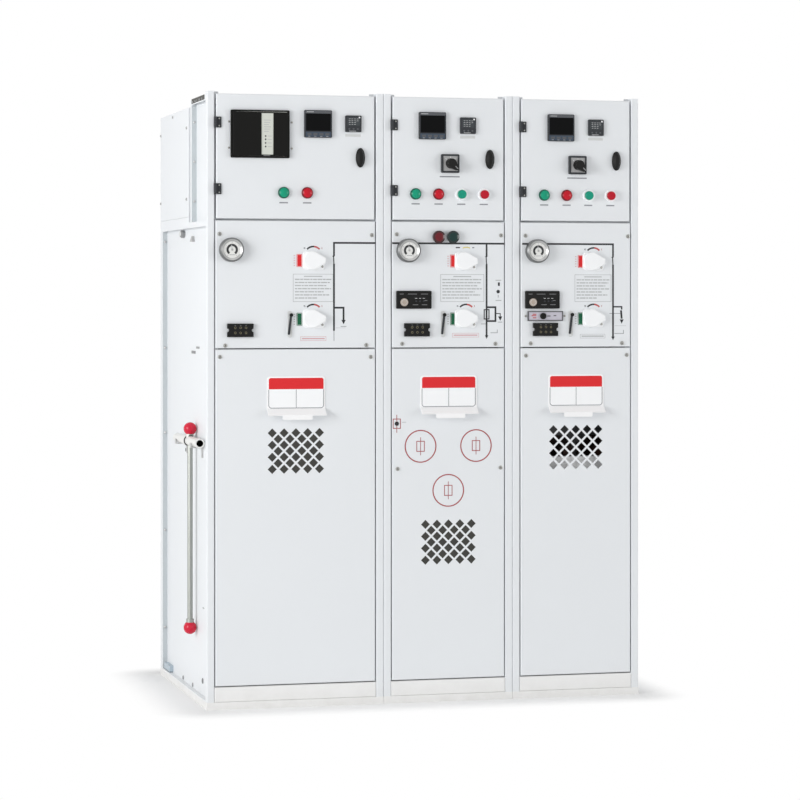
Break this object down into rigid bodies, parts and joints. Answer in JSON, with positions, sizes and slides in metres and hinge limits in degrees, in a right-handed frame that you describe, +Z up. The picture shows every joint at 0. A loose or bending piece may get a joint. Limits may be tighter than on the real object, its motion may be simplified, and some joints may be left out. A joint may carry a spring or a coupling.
{
  "type": "gas-insulated switchgear",
  "caption": "Row of metal-clad gas-insulated switchgear cubicles with hinged instrument doors, mimic panels, vented cable covers and an operating lever on the side.",
  "frame": {"origin": "on the floor, in the middle of the row's whole outline, with the lever at the left and the handles at the front", "axes": "+X along the row to the right as seen from the front, +Y from the front to the rear, +Z up"},
  "size_m": [1.2745, 0.7962, 1.7],
  "materials": {
    "powder_coat": "fine-textured light grey powder coat",
    "plinth_paint": "warm light grey powder coat",
    "white_paint": "smooth white powder coat",
    "stainless_steel": "cold-rolled stainless sheet",
    "cast_resin": "cast epoxy resin, satin",
    "galvanised_steel": "zinc-plated",
    "gauge_bezel": "satin steel bezel",
    "lever_steel": "light grey steel rod and white tube, with red balls",
    "wire_mesh": "fine dark wire mesh",
    "black_plastic": "moulded, fine satin",
    "grey_plastic": "moulded, satin",
    "white_plastic": "moulded, glossy",
    "lamp_body": "coloured translucent domes, one green and one red",
    "green_plastic": "glossy green",
    "red_plastic": "glossy red"
  },
  "bodies": {
    "cubicles": {"front_posts": "powder_coat", "rear_posts": "powder_coat", "base_frame": "plinth_paint", "kick_plates": "plinth_paint", "side_sheets": "powder_coat", "side_sills": "powder_coat", "decks": "powder_coat", "rear_panels": "powder_coat", "box_backs": "powder_coat", "box_roofs": "powder_coat", "rear_boxes": "powder_coat", "rear_box_covers": "powder_coat", "gas_tanks": "stainless_steel", "cable_bushings": "cast_resin", "cable_rails": "galvanised_steel", "mechanisms": "galvanised_steel", "mechanism_panels": "powder_coat", "cable_covers": "powder_coat", "vent_screens": "wire_mesh", "cover_handles": "white_paint", "gauges": "gauge_bezel", "shaft_covers": "white_plastic", "fault_indicators": "black_plastic", "voltage_indicators": "black_plastic", "key_interlock": "grey_plastic", "interlock_levers": "galvanised_steel", "operating_lever": "lever_steel", "lever_hooks": "galvanised_steel", "post_hinges": "black_plastic"},
    "door_1": {"door_1": "powder_coat", "door_hinges_1": "black_plastic", "panel_meters_1": "black_plastic", "lamps_1": "lamp_body", "relay": "black_plastic"},
    "latch_1": {"latch_1": "black_plastic"},
    "door_2": {"door_2": "powder_coat", "door_hinges_2": "black_plastic", "panel_meters_2": "black_plastic", "lamps_2": "lamp_body", "selector_base_2": "grey_plastic", "button_bezels_2": "white_plastic"},
    "latch_2": {"latch_2": "black_plastic"},
    "selector_handle_2": {"selector_handle_2": "black_plastic"},
    "green_button_2": {"green_button_2": "green_plastic"},
    "red_button_2": {"red_button_2": "red_plastic"},
    "door_3": {"door_3": "powder_coat", "door_hinges_3": "black_plastic", "panel_meters_3": "black_plastic", "lamps_3": "lamp_body", "selector_base_3": "grey_plastic", "button_bezels_3": "white_plastic"},
    "latch_3": {"latch_3": "black_plastic"},
    "selector_handle_3": {"selector_handle_3": "black_plastic"},
    "green_button_3": {"green_button_3": "green_plastic"},
    "red_button_3": {"red_button_3": "red_plastic"},
    "trip_button": {"trip_button": "red_plastic"},
    "close_button": {"close_button": "green_plastic"}
  },
  "joints": [
    {"name": "door_1_hinge", "type": "hinge", "parent": "cubicles", "child": "door_1", "pos_m": [-0.58925, -0.37285, 1.52125], "axis": [0, 0, -1], "range_deg": [0, 110]},
    {"name": "latch_1_turn", "type": "hinge", "parent": "door_1", "child": "latch_1", "pos_m": [-0.18005, -0.36685, 1.521], "axis": [0, 1, 0], "range_deg": [0, 90]},
    {"name": "door_2_hinge", "type": "hinge", "parent": "cubicles", "child": "door_2", "pos_m": [-0.08895, -0.37285, 1.52125], "axis": [0, 0, -1], "range_deg": [0, 110]},
    {"name": "latch_2_turn", "type": "hinge", "parent": "door_2", "child": "latch_2", "pos_m": [0.19495, -0.36685, 1.521], "axis": [0, 1, 0], "range_deg": [0, 90]},
    {"name": "selector_2_turn", "type": "hinge", "parent": "door_2", "child": "selector_handle_2", "pos_m": [0.07825, -0.36685, 1.508], "axis": [0, 1, 0], "range_deg": [-90, 0]},
    {"name": "green_button_2_press", "type": "slide", "parent": "door_2", "child": "green_button_2", "axis": [0, 1, 0], "range_m": [0, 0.004], "stiffness_N_per_m": 500},
    {"name": "red_button_2_press", "type": "slide", "parent": "door_2", "child": "red_button_2", "axis": [0, 1, 0], "range_m": [0, 0.004], "stiffness_N_per_m": 500},
    {"name": "door_3_hinge", "type": "hinge", "parent": "cubicles", "child": "door_3", "pos_m": [0.28605, -0.37285, 1.52125], "axis": [0, 0, -1], "range_deg": [0, 110]},
    {"name": "latch_3_turn", "type": "hinge", "parent": "door_3", "child": "latch_3", "pos_m": [0.57025, -0.36685, 1.521], "axis": [0, 1, 0], "range_deg": [0, 90]},
    {"name": "selector_3_turn", "type": "hinge", "parent": "door_3", "child": "selector_handle_3", "pos_m": [0.45325, -0.36685, 1.508], "axis": [0, 1, 0], "range_deg": [-90, 0]},
    {"name": "green_button_3_press", "type": "slide", "parent": "door_3", "child": "green_button_3", "axis": [0, 1, 0], "range_m": [0, 0.004], "stiffness_N_per_m": 500},
    {"name": "red_button_3_press", "type": "slide", "parent": "door_3", "child": "red_button_3", "axis": [0, 1, 0], "range_m": [0, 0.004], "stiffness_N_per_m": 500},
    {"name": "trip_button_press", "type": "slide", "parent": "cubicles", "child": "trip_button", "axis": [0, 1, 0], "range_m": [0, 0.005], "stiffness_N_per_m": 800},
    {"name": "close_button_press", "type": "slide", "parent": "cubicles", "child": "close_button", "axis": [0, 1, 0], "range_m": [0, 0.005], "stiffness_N_per_m": 800}
  ]
}
